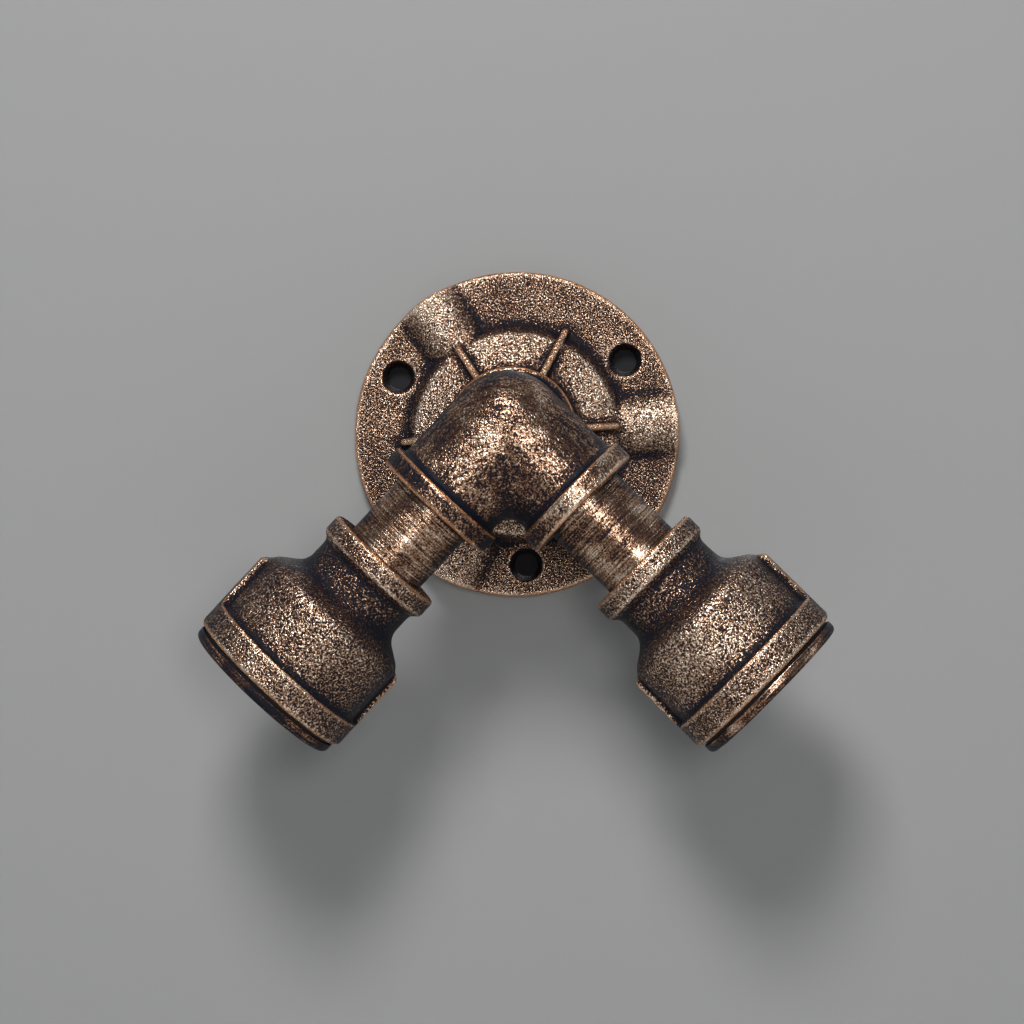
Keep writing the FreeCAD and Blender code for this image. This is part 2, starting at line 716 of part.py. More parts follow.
def make_ferrule(reach):
    """Crimped pin on a lead's wall end, its collar over the lead."""
    pin_end = FERRULE_TIP + FERRULE_PIN_L
    collar_end = pin_end + FERRULE_COLLAR_L
    body = turned([
        (0, FERRULE_TIP, 0),
        (FERRULE_PIN_R, FERRULE_TIP, 0.3),
        (FERRULE_PIN_R, pin_end - 0.6, 0),
        (FERRULE_COLLAR_R, pin_end - 0.1, 0),
        (FERRULE_COLLAR_R, collar_end, 0),
        (LEAD_R + LEAD_GAP, collar_end, 0),
        (LEAD_R + LEAD_GAP, pin_end, 0),
        (0, pin_end, 0),
    ])
    body.rotate(Vector(0, 0, 0), Vector(1, 0, 0), 90)
    body.translate(Vector(0, CENTRE_DEPTH, reach))
    return body


# ---- the whole light -------------------------------------------------------------------------
def across_arm(shape):
    """Turns what is laid along x so that it lies along y, across the arm and towards the wall."""
    moved = shape.copy()
    moved.rotate(Vector(0, 0, 0), Vector(0, 0, 1), 90)
    return moved


os.makedirs(OUT, exist_ok=True)
save("wall_flange", make_flange())
save("wall_nipple", make_wall_nipple())
save("elbow", make_elbow())
ferrules = []
for s in SIDES:
    nipple = pipe_nipple(ARM_GRIP, SIDES[s]["show"], HEAD_GRIP)
    save(f"{s}_nipple", on_arm(nipple, s, ELBOW_REACH - ARM_GRIP))
    save(f"{s}_reducer", on_head(make_reducer(s), s))
    save(f"{s}_entry_bush", on_head(make_bush(), s))
    save(f"{s}_stem", on_head(make_stem(), s))
    save(f"{s}_holder_cap", on_head(make_cap(), s))
    save(f"{s}_insert", on_head(across_arm(make_insert()), s))
    save(f"{s}_holder_skirt", on_head(make_skirt(), s))
    save(f"{s}_screw_shell", on_head(across_arm(make_shell()), s))
    save(f"{s}_washer", on_head(make_washer(), s))
    save(f"{s}_mouth_ring", on_head(make_ring(), s))
    save(f"{s}_contact_base", on_head(across_arm(make_contact_base()), s))
    save(f"{s}_contact_tongue", on_head(across_arm(make_contact_tongue()), s))
    save(f"{s}_posts", *[on_head(across_arm(post), s) for post in make_posts()])
    save(f"{s}_post_screws", *[on_head(across_arm(screw), s) for screw in make_post_screws()])
    save(f"{s}_shell_link", on_head(across_arm(make_link()), s))
    save(f"{s}_live_lead", on_arm(make_lead(s, OUTER_OFFSET, OUTER_REACH, OUTER_TURN_R), s))
    save(f"{s}_neutral_lead", on_arm(make_lead(s, INNER_OFFSET, INNER_REACH, INNER_TURN_R), s))
    ferrules += [on_arm(make_ferrule(reach), s) for reach in (OUTER_REACH, INNER_REACH)]
save("lead_ferrules", *ferrules)
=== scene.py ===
import json
import math

import bpy
import numpy as np
from mathutils import Matrix, Vector, noise


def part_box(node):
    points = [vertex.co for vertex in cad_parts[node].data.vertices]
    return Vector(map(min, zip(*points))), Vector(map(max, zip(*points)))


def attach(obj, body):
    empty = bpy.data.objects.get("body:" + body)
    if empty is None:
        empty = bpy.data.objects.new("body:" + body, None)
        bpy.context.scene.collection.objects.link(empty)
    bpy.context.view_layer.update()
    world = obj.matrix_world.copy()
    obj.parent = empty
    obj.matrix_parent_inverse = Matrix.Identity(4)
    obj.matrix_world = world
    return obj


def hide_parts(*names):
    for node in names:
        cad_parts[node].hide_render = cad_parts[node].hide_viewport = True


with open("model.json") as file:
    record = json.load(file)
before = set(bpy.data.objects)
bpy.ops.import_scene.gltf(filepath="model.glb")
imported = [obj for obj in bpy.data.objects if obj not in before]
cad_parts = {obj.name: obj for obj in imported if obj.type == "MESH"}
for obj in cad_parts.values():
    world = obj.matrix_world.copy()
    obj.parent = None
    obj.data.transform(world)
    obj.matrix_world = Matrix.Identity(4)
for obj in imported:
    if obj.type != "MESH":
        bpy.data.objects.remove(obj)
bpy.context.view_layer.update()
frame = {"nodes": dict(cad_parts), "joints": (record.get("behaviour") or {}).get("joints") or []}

# The row frame: the wall is y = 0, the light stands out along -Y and +Z is up. Metres.
MM = 0.001
SIDES = ("left", "right")


def box_middle(node):
    low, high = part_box(node)
    return (low + high) / 2


def add_object(name, data):
    """A new object with this data, in the scene."""
    piece = bpy.data.objects.new(name, data)
    bpy.context.scene.collection.objects.link(piece)
    return piece


# ---- where the arms are, read from the frame ----------------------------------------------
ELBOW_Y = box_middle("left_mouth_ring").y


def arm_axis(side):
    """Unit vector from the elbow's centre out along an arm."""
    joint = next(j for j in frame["joints"] if j["name"] == f"{side}_ring_turn")
    return Vector(joint["axis"])


CROTCH = Vector((0, ELBOW_Y, -20 * MM))     # where the two arm barrels part


# ---- geometry: cast pieces ------------------------------------------------------------------
WELD_DISTANCE = 0.002 * MM
CORNER_ROUNDS = 2               # rounds that soften a casting's corners
FINE_ROUNDS = 14                # rounds until only edges have moved
BROAD_ROUNDS = 110              # and until swellings have moved too
EDGE_HEIGHT = 0.12 * MM         # what counts as 1 in "edge"
SWELL_HEIGHT = 0.6 * MM         # and in "swell"
LUMP_SIZES = (4.0 * MM, 1.6 * MM)
LUMP_SHARES = (0.6, 0.4)
LUMP_SINK = 0.7                 # sinks the lumps, so that few stand out of the solid


def relaxed(points, pairs, count, rounds):
    """The points after some rounds of moving each halfway to the mean of its neighbours."""
    first = np.concatenate([pairs[:, 0], pairs[:, 1]])
    second = np.concatenate([pairs[:, 1], pairs[:, 0]])
    degree = np.maximum(np.bincount(first, minlength=count), 1)
    now = points.copy()
    for _ in range(rounds):
        for axis in range(3):
            total = np.bincount(first, weights=now[second, axis], minlength=count)
            now[:, axis] += 0.5 * (total / degree - now[:, axis])
    return now


def mesh_points(mesh):
    points = np.empty(len(mesh.vertices) * 3)
    mesh.vertices.foreach_get("co", points)
    return points.reshape(-1, 3)


def mesh_normals(mesh):
    normals = np.empty(len(mesh.vertices) * 3)
    mesh.vertices.foreach_get("normal", normals)
    return normals.reshape(-1, 3)


def store(mesh, name, values):
    layer = mesh.attributes.new(name, "FLOAT", "POINT")
    layer.data.foreach_set("value", values.astype(np.float32))


def noise_at(points, size, seed):
    """Smooth noise about 0 whose lumps are about size across, at each point."""
    shift = Vector((seed * 7.31, seed * 3.17, seed * 5.53))
    scale = 1.0 / size
    return np.array([noise.noise(Vector(p) * scale + shift) for p in points])


def cast_piece(node, name, body, voxel, unevenness, seed):
    """A sand casting made from a CAD node: soft corners, slightly uneven skin, edges measured."""
    source = frame["nodes"][node]
    raw = add_object(name + "_raw", source.data.copy())
    weld = raw.modifiers.new("weld", "WELD")
    weld.merge_threshold = WELD_DISTANCE
    remesh = raw.modifiers.new("remesh", "REMESH")
    remesh.mode = "VOXEL"
    remesh.voxel_size = voxel
    evaluated = raw.evaluated_get(bpy.context.evaluated_depsgraph_get())
    mesh = bpy.data.meshes.new_from_object(evaluated)
    bpy.data.objects.remove(raw)
    mesh.name = name
    mesh.materials.clear()
    mesh.polygons.foreach_set("use_smooth", [True] * len(mesh.polygons))
    points = mesh_points(mesh)
    count = len(points)
    pairs = np.array([e.vertices[:] for e in mesh.edges])
    points = relaxed(points, pairs, count, CORNER_ROUNDS)
    mesh.vertices.foreach_set("co", points.ravel())
    mesh.update()
    normals = mesh_normals(mesh)
    fine = relaxed(points, pairs, count, FINE_ROUNDS)
    broad = relaxed(fine, pairs, count, BROAD_ROUNDS)
    store(mesh, "edge", ((points - fine) * normals).sum(1) / EDGE_HEIGHT)
    store(mesh, "swell", ((points - broad) * normals).sum(1) / SWELL_HEIGHT)
    large = LUMP_SHARES[0] * noise_at(points, LUMP_SIZES[0], seed)
    small = LUMP_SHARES[1] * noise_at(points, LUMP_SIZES[1], seed + 1)
    depth = unevenness * (large + small - LUMP_SINK)
    points += normals * depth[:, None]
    low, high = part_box(node)
    points = np.clip(points, np.array(low), np.array(high))
    mesh.vertices.foreach_set("co", points.ravel())
    mesh.update()
    piece = add_object(name, mesh)
    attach(piece, body)
    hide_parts(node)
    return piece


# ---- geometry: rolled screw shells -------------------------------------------------------------
# Along a head from its reducer's small end, mm, and radii from its axis.
REDUCER_L = 41.2
SHELL_FOOT = 22.78
SHELL_FOOT_R = 9.8
SHELL_FOOT_W = 2.6
SHELL_CONE_END = 26.56
SHELL_END = 42.4
SHELL_OUTER_R = 13.65
SHELL_T = 0.3
THREAD_PITCH = 3.63             # E27, seven turns to the inch
THREAD_DEPTH = 0.95
THREAD_FADE = 1.8               # plain rim before the thread is at full depth
RING_STEPS = 96
WALL_STEPS = 110


def head_frame(side):
    """Matrix from a head's own frame, +Z out along the arm, to the world."""
    axis = arm_axis(side)
    low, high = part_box(f"{side}_washer")
    start = (low + high) / 2 - axis * REDUCER_L * MM
    x = Vector((0, 1, 0)).cross(axis)
    turn = Matrix((x, Vector((0, 1, 0)), axis)).transposed().to_4x4()
    return Matrix.Translation(start) @ turn


def shell_radius(z, angle):
    """Outer radius of the rolled wall at a height and an angle."""
    to_rim = min(z - SHELL_CONE_END, SHELL_END - z)
    fade = min(1.0, max(0.0, to_rim / THREAD_FADE))
    wave = 0.5 - 0.5 * math.cos(math.tau * (z / THREAD_PITCH - angle / math.tau))
    return SHELL_OUTER_R - THREAD_DEPTH * fade * wave


def screw_shell(side, material):
    """E27 screw shell with its rolled thread: flat foot, short cone and threaded wall."""
    spots = [(SHELL_FOOT_R, SHELL_FOOT), (SHELL_FOOT_R + SHELL_FOOT_W, SHELL_FOOT)]
    threaded = SHELL_END - SHELL_CONE_END
    heights = [SHELL_CONE_END + threaded * i / WALL_STEPS for i in range(WALL_STEPS + 1)]
    rows = len(spots) + len(heights)
    points, faces = [], []
    for inward in (0.0, SHELL_T):
        for row in range(rows):
            for step in range(RING_STEPS):
                angle = math.tau * step / RING_STEPS
                if row < len(spots):
                    radius, z = spots[row]
                    radius -= inward if row else 0.0
                    z += inward
                else:
                    z = heights[row - len(spots)]
                    radius = shell_radius(z, angle) - inward
                points.append((radius * math.cos(angle) * MM, radius * math.sin(angle) * MM, z * MM))
    outer, inner = 0, rows * RING_STEPS

    def quad_row(first, second, flip):
        for step in range(RING_STEPS):
            after = (step + 1) % RING_STEPS
            face = (first + step, first + after, second + after, second + step)
            faces.append(face[::-1] if flip else face)

    for row in range(rows - 1):
        quad_row(outer + row * RING_STEPS, outer + (row + 1) * RING_STEPS, False)
        quad_row(inner + row * RING_STEPS, inner + (row + 1) * RING_STEPS, True)
    last = (rows - 1) * RING_STEPS
    quad_row(outer + last, inner + last, False)
    quad_row(outer, inner, True)
    mesh = bpy.data.meshes.new(f"{side}_threaded_shell")
    mesh.from_pydata(points, [], faces)
    mesh.transform(head_frame(side))
    mesh.polygons.foreach_set("use_smooth", [True] * len(mesh.polygons))
    mesh.materials.append(material)
    piece = add_object(f"{side}_threaded_shell", mesh)
    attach(piece, "arms")
    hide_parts(f"{side}_screw_shell")


# ---- material building ------------------------------------------------------------------------
class Nodes:
    """Small helper that adds nodes to a material and links them."""

    def __init__(self, name):
        self.material = bpy.data.materials.new(name)
        self.material.use_nodes = True
        self.tree = self.material.node_tree
        self.shader = self.tree.nodes["Principled BSDF"]

    def add(self, kind, **settings):
        node = self.tree.nodes.new(kind)
        for key, value in settings.items():
            setattr(node, key, value)
        return node

    def put(self, value, socket):
        if isinstance(value, bpy.types.NodeSocket):
            self.tree.links.new(value, socket)
        else:
            socket.default_value = value

    def math(self, operation, a, b=0.0):
        node = self.add("ShaderNodeMath", operation=operation)
        self.put(a, node.inputs[0])
        self.put(b, node.inputs[1])
        return node.outputs[0]

    def ramp(self, value, low, high):
        """0 below low, 1 above high, smooth between."""
        node = self.add("ShaderNodeMapRange", interpolation_type="SMOOTHSTEP")
        self.put(value, node.inputs["Value"])
        node.inputs["From Min"].default_value = low
        node.inputs["From Max"].default_value = high
        return node.outputs[0]

    def mix(self, factor, a, b):
        node = self.add("ShaderNodeMix", data_type="RGBA")
        self.put(factor, node.inputs["Factor"])
        self.put((*a, 1.0) if isinstance(a, tuple) else a, node.inputs["A"])
        self.put((*b, 1.0) if isinstance(b, tuple) else b, node.inputs["B"])
        return node.outputs["Result"]

    def place(self):
        return self.add("ShaderNodeTexCoord").outputs["Object"]

    def mapped(self, vector, scale, turn=(0, 0, 0)):
        node = self.add("ShaderNodeMapping")
        self.put(vector, node.inputs["Vector"])
        node.inputs["Rotation"].default_value = turn
        node.inputs["Scale"].default_value = scale
        return node.outputs[0]

    def noise(self, vector, scale, detail=2.0, roughness=0.5, distortion=0.0):
        node = self.add("ShaderNodeTexNoise")
        self.put(vector, node.inputs["Vector"])
        node.inputs["Scale"].default_value = scale
        node.inputs["Detail"].default_value = detail
        node.inputs["Roughness"].default_value = roughness
        node.inputs["Distortion"].default_value = distortion
        return node.outputs["Fac"]

    def vector(self, operation, a, b=(0, 0, 0)):
        node = self.add("ShaderNodeVectorMath", operation=operation)
        self.put(a, node.inputs[0])
        node.inputs[1].default_value = b
        return node

    def split(self, vector):
        node = self.add("ShaderNodeSeparateXYZ")
        self.put(vector, node.inputs[0])
        return node.outputs

    def joined(self, x=0.0, y=0.0, z=0.0):
        node = self.add("ShaderNodeCombineXYZ")
        for axis, value in zip("XYZ", (x, y, z)):
            self.put(value, node.inputs[axis])
        return node.outputs[0]

    def attribute(self, name):
        return self.add("ShaderNodeAttribute", attribute_name=name).outputs["Fac"]

    def bump(self, height, distance, strength=1.0, normal=None):
        node = self.add("ShaderNodeBump")
        node.inputs["Strength"].default_value = strength
        node.inputs["Distance"].default_value = distance
        self.put(height, node.inputs["Height"])
        if normal is not None:
            self.put(normal, node.inputs["Normal"])
        return node.outputs[0]

    def finish(self, color, roughness, metallic, normal=None):
        self.put((*color, 1.0) if isinstance(color, tuple) else color, self.shader.inputs["Base Color"])
        self.put(roughness, self.shader.inputs["Roughness"])
        self.put(metallic, self.shader.inputs["Metallic"])
        if normal is not None:
            self.put(normal, self.shader.inputs["Normal"])
        return self.material


# Antique finish: black lacquer rubbed back to bronze. Linear colours.
BLACK = (0.0070, 0.0080, 0.0140)
BROWN = (0.100, 0.038, 0.017)
BRONZE = (0.44, 0.268, 0.172)
BRIGHT = (0.96, 0.83, 0.68)
COPPER = (0.90, 0.40, 0.17)
LACQUER_SHINE = 0.14            # the black skin's specular level
LACQUER_ROUGHNESS = 0.50
METAL_SMOOTHER = 0.23           # how much less rough bare metal is
GRAIN = 0.46 * MM               # sand grain left in a casting's skin
FLANGE_GRAIN = 0.38 * MM
BROAD = 12 * MM                 # patches rubbed more or less
UNRUBBED_BACK_AND_SIDE_SHADE = 0.46               # how much darker skin turned from the room is set: painted shade on the sides, unrubbed black on the back
ZONE_SOFT = 2.0                 # mm over which a zone fades in


def rubbed(n, rub, normal, copper=0.0):
    """Colour, gloss and metal of a surface from its rub and painted shade, 0 black to 1 bright."""
    dark = n.mix(n.ramp(rub, 0.10, 0.36), BLACK, BROWN)
    warm = n.mix(n.ramp(rub, 0.30, 0.62), dark, BRONZE)
    color = n.mix(n.ramp(rub, 0.62, 1.08), warm, BRIGHT)
    color = n.mix(copper, color, COPPER)
    metallic = n.ramp(rub, 0.20, 0.45)
    roughness = n.math("SUBTRACT", LACQUER_ROUGHNESS, n.math("MULTIPLY", metallic, METAL_SMOOTHER))
    n.shader.inputs["Specular IOR Level"].default_value = LACQUER_SHINE
    return n.finish(color, roughness, metallic, normal)


def spread(n, value, amount):
    """The value about 0, times the amount."""
    return n.math("MULTIPLY", n.math("SUBTRACT", value, 0.5), amount)


def total(n, *values):
    found = values[0]
    for value in values[1:]:
        found = n.math("ADD", found, value)
    return found


def unrubbed_back_and_side_shade(n):
    """Rub taken away on skin turned sideways or to the wall: painted shade on the sides, and the black of
    unrubbed skin on the back.
    """
    outward = n.math("MULTIPLY", n.split(n.add("ShaderNodeTexCoord").outputs["Normal"])["Y"], -1.0)
    return n.math("MULTIPLY", n.math("SUBTRACT", n.ramp(outward, 0.10, 0.90), 1.0), UNRUBBED_BACK_AND_SIDE_SHADE)


def wear_and_hollow_shade(n, hollows=1.0):
    """Rub added by worn edges and swellings and taken away in hollows, and how much is bare copper. In the
    hollows it stands for black left unrubbed and for painted shade there too.
    """
    edge, swell = n.attribute("edge"), n.attribute("swell")
    raised = n.math("MULTIPLY", n.ramp(edge, 0.5, 1.5), 0.34)
    worn = n.math("MULTIPLY", n.ramp(swell, 0.2, 1.6), 0.08)
    # Darker in creases and corners: black left unrubbed in the hollows, and painted shade there too.
    crease = n.math("MULTIPLY", n.ramp(n.math("MULTIPLY", swell, -1.0), 0.12, 1.2), -0.28 * hollows)
    corner = n.math("MULTIPLY", n.ramp(n.math("MULTIPLY", edge, -1.0), 0.25, 1.2), -0.5 * hollows)
    rub = total(n, raised, worn, crease, corner)
    return rub, n.math("MULTIPLY", n.ramp(edge, 1.0, 2.2), 0.5)


def along(n, place, start, axis):
    """Distance in mm of a place from the start, measured along the axis."""
    offset = n.vector("SUBTRACT", place, start).outputs[0]
    return n.vector("DOT_PRODUCT", offset, axis / MM).outputs["Value"]


def zone(n, value, low, high):
    """1 where the value is between low and high, fading at both ends."""
    start, end = n.ramp(value, low, low + ZONE_SOFT), n.ramp(value, high, high - ZONE_SOFT)
    return n.math("MULTIPLY", start, end)


def in_zones(n, place, start, axis, bands):
    """Extra lightness of the bands (low, high, extra) along an axis; below 0 darker."""
    reach = along(n, place, start, axis)
    return total(n, *[n.math("MULTIPLY", zone(n, reach, low, high), extra) for low, high, extra in bands])


def sandy_bronze(name, base, contrast=3.2, zones=None, grain_size=GRAIN, hollows=1.0):
    """Sand-cast skin: grains rubbed bright on top, black between them.

    The zones are (low, high, extra lightness) in mm along an axis from a start.
    """
    n = Nodes(name)
    place = n.place()
    grain = n.noise(place, 1.0 / grain_size, detail=1.0, roughness=0.45, distortion=0.5)
    patch = n.noise(place, 1.0 / BROAD, detail=2.0)
    rub, copper = wear_and_hollow_shade(n, hollows)
    rub = total(n, spread(n, grain, contrast), spread(n, patch, 0.7), rub, base)
    rub = total(n, rub, unrubbed_back_and_side_shade(n))
    if zones:
        rub = total(n, rub, in_zones(n, place, *zones))
    normal = n.bump(grain, 0.34 * MM, 0.9)
    return rubbed(n, rub, normal, copper)


def streaked_bronze(name, base, turn_y):
    """Pipe or ring brushed round its axis, which the turn lays along z."""
    n = Nodes(name)
    place = n.place()
    local = n.mapped(place, (1, 1, 1), (0, turn_y, 0))
    streak = n.noise(n.mapped(local, (90, 90, 2600)), 1.0, detail=3.0, roughness=0.6)
    grain = n.noise(place, 1.0 / GRAIN, detail=1.0, distortion=0.5)
    patch = n.noise(place, 1.0 / (8 * MM), detail=2.5)
    rub = total(n, spread(n, streak, 1.9), spread(n, grain, 1.5), spread(n, patch, 1.5), base)
    rub = total(n, rub, unrubbed_back_and_side_shade(n))
    normal = n.bump(streak, 0.10 * MM, 0.8, n.bump(grain, 0.12 * MM, 0.6))
    return rubbed(n, rub, normal)


def swept_bronze(name, base, zones):
    """Elbow skin: brush strokes follow the bend round the crotch; each arm has its own zones."""
    n = Nodes(name)
    place = n.place()
    spot = n.split(n.vector("SUBTRACT", place, CROTCH).outputs[0])
    radius = n.vector("LENGTH", n.joined(x=spot["X"], z=spot["Z"])).outputs["Value"]
    turn = n.math("ARCTAN2", spot["X"], spot["Z"])
    swept = n.joined(
        n.math("MULTIPLY", radius, 1300), n.math("MULTIPLY", turn, 5.0), n.math("MULTIPLY", spot["Y"], 500))
    streak = n.noise(swept, 1.0, detail=3.0, roughness=0.6, distortion=0.4)
    grain = n.noise(place, 1.0 / GRAIN, detail=1.0, distortion=0.5)
    patch = n.noise(place, 1.0 / (10 * MM), detail=2.5)
    rub, copper = wear_and_hollow_shade(n)
    rub = total(n, spread(n, streak, 1.7), spread(n, grain, 2.2), spread(n, patch, 1.2), rub, base)
    rub = total(n, rub, unrubbed_back_and_side_shade(n))
    for start, axis, bands in zones:
        rub = total(n, rub, in_zones(n, place, start, axis, bands))
    normal = n.bump(streak, 0.14 * MM, 0.8, n.bump(grain, 0.2 * MM, 0.7))
    return rubbed(n, rub, normal, copper)


def plain_metal(name, color, roughness):
    """Small bare metal pieces with fine mottling."""
    n = Nodes(name)
    place = n.place()
    mottle = n.noise(place, 1.0 / (1.5 * MM), detail=4.0)
    fine = n.noise(place, 1.0 / (0.25 * MM), detail=2.0)
    shade = n.mix(n.ramp(mottle, 0.35, 0.65), tuple(c * 0.72 for c in color), color)
    rough = n.math("ADD", n.math("MULTIPLY", mottle, 0.18), roughness)
    return n.finish(shade, rough, 1.0, n.bump(fine, 0.02 * MM, 0.6))


def moulded(name, color, roughness, size=0.5 * MM, depth=0.015 * MM):
    """Moulded or glazed piece with a faint orange-peel skin."""
    n = Nodes(name)
    place = n.place()
    peel = n.noise(place, 1.0 / size, detail=3.0)
    cloud = n.noise(place, 1.0 / (6 * MM), detail=2.0)
    shade = n.mix(n.ramp(cloud, 0.3, 0.7), tuple(c * 0.82 for c in color), color)
    rough = n.math("ADD", n.math("MULTIPLY", cloud, 0.12), roughness)
    return n.finish(shade, rough, 0.0, n.bump(peel, depth, 0.7))


def paint(node, material):
    data = frame["nodes"][node].data
    data.materials.clear()
    data.materials.append(material)


# ---- the pieces -------------------------------------------------------------------------------
FLANGE_VOXEL = 0.55 * MM
FLANGE_UNEVENNESS = 0.10 * MM
FITTING_VOXEL = 0.5 * MM
FITTING_UNEVENNESS = 0.12 * MM
FLANGE_SEED = 3
ELBOW_SEED = 5
REDUCER_SEED = {"left": 11, "right": 15}

# How bright each piece is set, 0 black to 1 bright.
FLANGE_RUB = 0.33
ELBOW_RUB = 0.47
NIPPLE_RUB = 0.52
WALL_NIPPLE_RUB = 0.40
# The left bell and ring are set darker than the right ones.
BELL_TONE = {"left": 0.41, "right": 0.47}
RING_TONE = {"left": 0.20, "right": 0.46}

# Zones set lighter or darker: from and to, mm, and the extra lightness. Out from the wall, out from the
# elbow's centre along each arm, down and to the wall, and along a reducer from its small end.
# The flange's raised parts, rubbed brighter.
FLANGE_RAISED = [(6.0, 40.0, 0.20)]
# Painted shade on the left arm's bead.
ELBOW_LEFT_BEAD_SHADE = [(18.0, 27.5, -0.20)]
# Painted shade in the crease before the right arm's bead, and a painted highlight on that bead.
ELBOW_RIGHT_BEAD_SHADE_AND_HIGHLIGHT = [(16.0, 19.5, -0.25), (18.5, 27.5, 0.14)]
# Painted shade under the elbow, where the light from above doesn't reach.
ELBOW_UNDERSIDE_SHADE = [(8.0, 30.0, -0.16)]
# Painted shade on the elbow's back outlet, between the elbow and the flange.
ELBOW_REAR_SHADE = [(15.0, 27.5, -0.30)]
# Darker on each reducer's neck and just before its band.
REDUCER_NECK_AND_BELL_END = [(5.6, 16.0, -0.34), (30.0, 34.0, -0.2)]


def dress():
    dress_flange()
    dress_elbow()
    for side in SIDES:
        dress_arm(side)
    paint("wall_nipple", streaked_bronze("wall_nipple_bronze", WALL_NIPPLE_RUB, 0.0))
    dress_lampholders()


def dress_flange():
    raised = (Vector((0, 0, 0)), Vector((0, -1, 0)), FLANGE_RAISED)
    sandy = sandy_bronze(
        "flange_bronze", FLANGE_RUB, contrast=3.0, zones=raised, grain_size=FLANGE_GRAIN, hollows=0.6)
    flange = cast_piece("wall_flange", "wall_flange_casting", "wall_mount",
                        FLANGE_VOXEL, FLANGE_UNEVENNESS, FLANGE_SEED)
    flange.data.materials.append(sandy)


def dress_elbow():
    elbow = cast_piece("elbow", "elbow_casting", "arms",
                       FITTING_VOXEL, FITTING_UNEVENNESS, ELBOW_SEED)
    centre = Vector((0, ELBOW_Y, 0))
    zones = [
        (centre, arm_axis("left"), ELBOW_LEFT_BEAD_SHADE),
        (centre, arm_axis("right"), ELBOW_RIGHT_BEAD_SHADE_AND_HIGHLIGHT),
        (centre, Vector((0, 0, -1)), ELBOW_UNDERSIDE_SHADE),
        (centre, Vector((0, 1, 0)), ELBOW_REAR_SHADE),
    ]
    elbow.data.materials.append(swept_bronze("elbow_bronze", ELBOW_RUB, zones))


def dress_arm(side):
    """The reducer, nipple and mouth ring of one arm."""
    axis = arm_axis(side)
    turn = -math.atan2(axis.x, axis.z)
    reducer = cast_piece(f"{side}_reducer", f"{side}_reducer_casting", "arms",
                         FITTING_VOXEL, FITTING_UNEVENNESS, REDUCER_SEED[side])
    zones = (head_frame(side).translation, axis, REDUCER_NECK_AND_BELL_END)
    reducer.data.materials.append(sandy_bronze(f"{side}_reducer_bronze", BELL_TONE[side], zones=zones))
    paint(f"{side}_nipple", streaked_bronze(f"{side}_nipple_bronze", NIPPLE_RUB, turn))
    paint(f"{side}_mouth_ring", streaked_bronze(f"{side}_ring_bronze", RING_TONE[side], turn))


def dress_lampholders():
    """The small pieces of both heads, the leads and their ferrules."""
    brass = plain_metal("turned_brass", (0.72, 0.50, 0.22), 0.28)
    shell = plain_metal("rolled_brass", (0.80, 0.58, 0.27), 0.22)
    phenolic = moulded("black_phenolic", (0.022, 0.020, 0.019), 0.35)
    porcelain = moulded("porcelain", (0.80, 0.78, 0.72), 0.12, 2.0 * MM)
    fibre = moulded("fibre", (0.020, 0.017, 0.015), 0.75, 0.3 * MM, 0.03 * MM)
    steel = plain_metal("zinc_plate", (0.55, 0.56, 0.58), 0.30)
    tin = plain_metal("tinned_copper", (0.68, 0.67, 0.66), 0.32)
    brown = moulded("brown_sleeve", (0.11, 0.045, 0.02), 0.45)
    blue = moulded("blue_sleeve", (0.03, 0.10, 0.33), 0.45)
    per_side = {
        "entry_bush": brass, "stem": brass, "holder_cap": phenolic, "insert": porcelain,
        "holder_skirt": phenolic, "washer": fibre, "contact_base": brass,
        "contact_tongue": brass, "posts": brass, "post_screws": steel, "shell_link": brass,
        "live_lead": brown, "neutral_lead": blue,
    }
    for side in SIDES:
        for part, material in per_side.items():
            paint(f"{side}_{part}", material)
        screw_shell(side, shell)
    paint("lead_ferrules", tin)


# ---- stage, lamps and camera --------------------------------------------------------------------
PHOTO_SIZE = 1024
CAMERA_FOCUS = 3352.0                       # focal length in photo pixels
CAMERA_AZIMUTH = 2.98
CAMERA_ELEVATION = -0.37
CAMERA_ROLL = -1.20
CAMERA_DISTANCE = 0.800
CAMERA_TARGET = Vector((0.75 * MM, ELBOW_Y, -19.89 * MM))
LAMP_AIM = Vector((0, -0.03, -0.02))
WHITE = (1, 1, 1)
BLUISH = (0.80, 0.90, 1.0)


def make_camera():
    data = bpy.data.cameras.new("camera")
    data.sensor_width = 36.0
    data.lens = data.sensor_width * CAMERA_FOCUS / PHOTO_SIZE
    data.clip_start, data.clip_end = 0.01, 20
    camera = add_object("camera", data)
    azimuth, elevation = math.radians(CAMERA_AZIMUTH), math.radians(CAMERA_ELEVATION)
    back = Vector((
        math.sin(azimuth) * math.cos(elevation),
        -math.cos(azimuth) * math.cos(elevation),
        math.sin(elevation),
    ))
    turn = (-back).to_track_quat("-Z", "Y").to_matrix().to_4x4()
    roll = Matrix.Rotation(math.radians(CAMERA_ROLL), 4, "Z")
    camera.matrix_world = Matrix.Translation(CAMERA_TARGET + back * CAMERA_DISTANCE) @ turn @ roll
    bpy.context.scene.camera = camera


def lamp(name, place, size, watts, color=WHITE):
    data = bpy.data.lights.new(name, "AREA")
    data.shape = "RECTANGLE"
    data.size, data.size_y = size
    data.energy = watts
    data.color = color
    light = add_object(name, data)
    light.location = place
    light.rotation_mode = "QUATERNION"
    light.rotation_quaternion = (Vector(place) - LAMP_AIM).to_track_quat("Z", "Y")


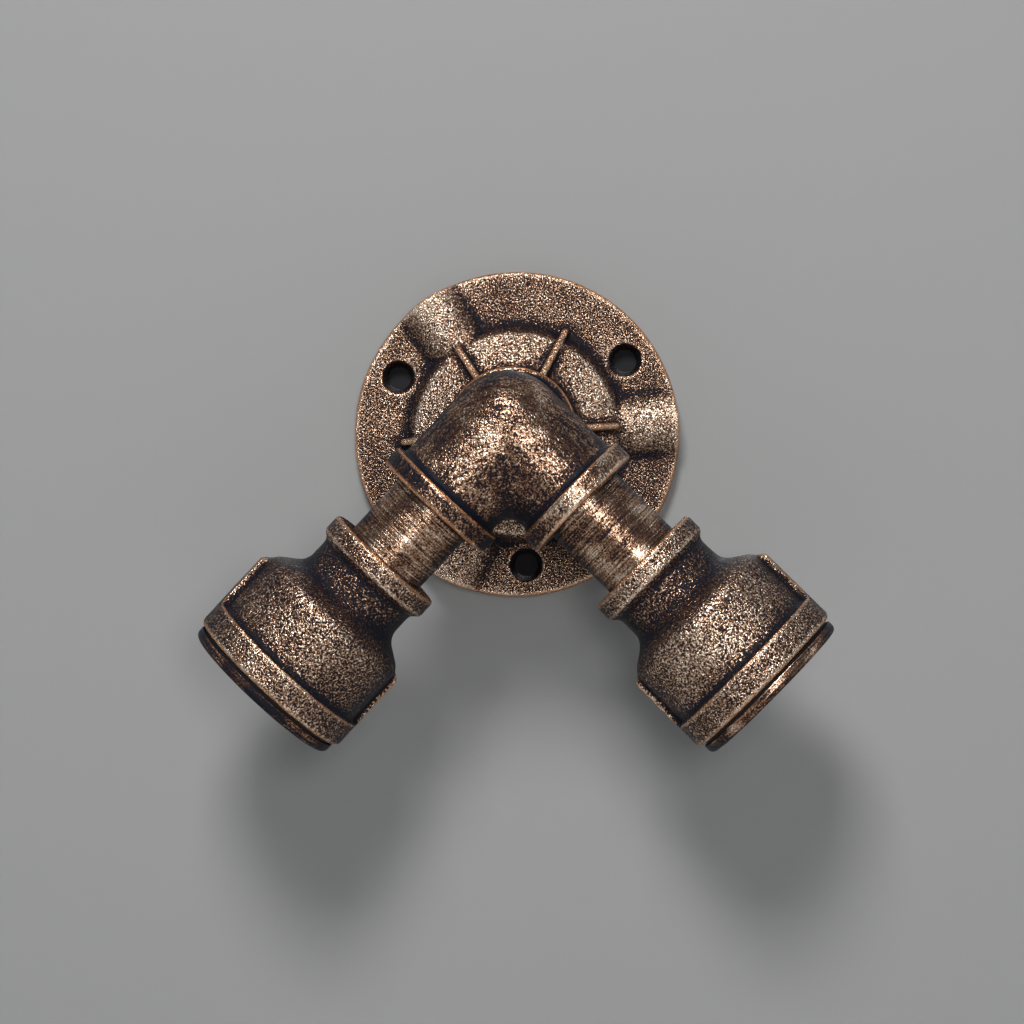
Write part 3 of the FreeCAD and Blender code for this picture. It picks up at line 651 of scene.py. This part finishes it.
FLOOR_Z = -0.30
FLOOR_COLOR = (0.55, 0.55, 0.545)
WALL_COLOR = (0.36, 0.36, 0.355)
WORLD_COLOR = (0.080, 0.084, 0.092)
STAGE_HALF = 2.0
WALL_GAP = 0.3 * MM
SCREW_TURNS = (33, 153, 273)        # degrees round the flange
SCREW_CIRCLE_R = 33.0 * MM
# Painted shadow behind the flange's screw holes: dark discs on the wall.
HOLE_SHADOW_R = 3.4 * MM
HOLE_SHADOW_DEPTH = 0.6 * WALL_GAP      # between the flange's back and the wall
HOLE_SHADOW_STEPS = 32
HOLE_SHADOW_COLOR = (0.015, 0.015, 0.017)


def stage_plane(name, corners, material):
    mesh = bpy.data.meshes.new(name)
    mesh.from_pydata(corners, [], [tuple(range(len(corners)))])
    mesh.materials.append(material)
    plane = add_object(name, mesh)
    plane.visible_shadow = False


def round_the_wall(degrees):
    """Unit vector in the wall's plane, turned from +X towards +Z."""
    return Vector((math.cos(math.radians(degrees)), 0, math.sin(math.radians(degrees))))


def one_sided_paint(name, color):
    """Plain paint, seen from its front only, so that the light can be looked at from behind it."""
    n = Nodes(name)
    front = n.finish(color, 0.9, 0.0)
    clear = n.add("ShaderNodeBsdfTransparent")
    mix = n.add("ShaderNodeMixShader")
    n.put(n.add("ShaderNodeNewGeometry").outputs["Backfacing"], mix.inputs[0])
    n.put(n.shader.outputs[0], mix.inputs[1])
    n.put(clear.outputs[0], mix.inputs[2])
    n.put(mix.outputs[0], n.tree.nodes["Material Output"].inputs["Surface"])
    return front


def painted_hole_shadows(material):
    """Painted shadow: dark discs on the wall behind the flange's empty screw holes, where the wall lies in
    shade.
    """
    for turn in SCREW_TURNS:
        middle = round_the_wall(turn) * SCREW_CIRCLE_R + Vector((0, HOLE_SHADOW_DEPTH, 0))
        corners = [
            middle + round_the_wall(360 * i / HOLE_SHADOW_STEPS) * HOLE_SHADOW_R for i in range(HOLE_SHADOW_STEPS)
        ]
        stage_plane("hole_shadow_disc", corners, material)


def make_stage():
    h, low, back = STAGE_HALF, FLOOR_Z, WALL_GAP
    floor = [(-h, -h, low), (h, -h, low), (h, h, low), (-h, h, low)]
    wall = [(-h, back, low), (h, back, low), (h, back, h), (-h, back, h)]
    stage_plane("floor", floor, one_sided_paint("floor_paint", FLOOR_COLOR))
    stage_plane("wall", wall, one_sided_paint("wall_paint", WALL_COLOR))
    painted_hole_shadows(one_sided_paint("hole_shadow_paint", HOLE_SHADOW_COLOR))


def make_world():
    world = bpy.data.worlds.new("world")
    bpy.context.scene.world = world
    world.use_nodes = True
    world.node_tree.nodes["Background"].inputs["Color"].default_value = (*WORLD_COLOR, 1)


def make_lamps():
    lamp("key", (-0.06, -0.74, 0.56), (0.24, 0.24), 5.6)
    lamp("front", (0.14, -0.95, 0.04), (0.18, 0.22), 1.8)
    lamp("rim_left", (-0.70, -0.10, 0.10), (0.10, 0.60), 0.45, BLUISH)
    lamp("rim_right", (0.70, -0.10, 0.15), (0.10, 0.60), 0.45, BLUISH)
    lamp("behind", (0.2, 1.20, 0.80), (0.6, 0.6), 4)


dress()
make_camera()
make_stage()
make_world()
make_lamps()
bpy.context.scene.view_settings.view_transform = "Standard"
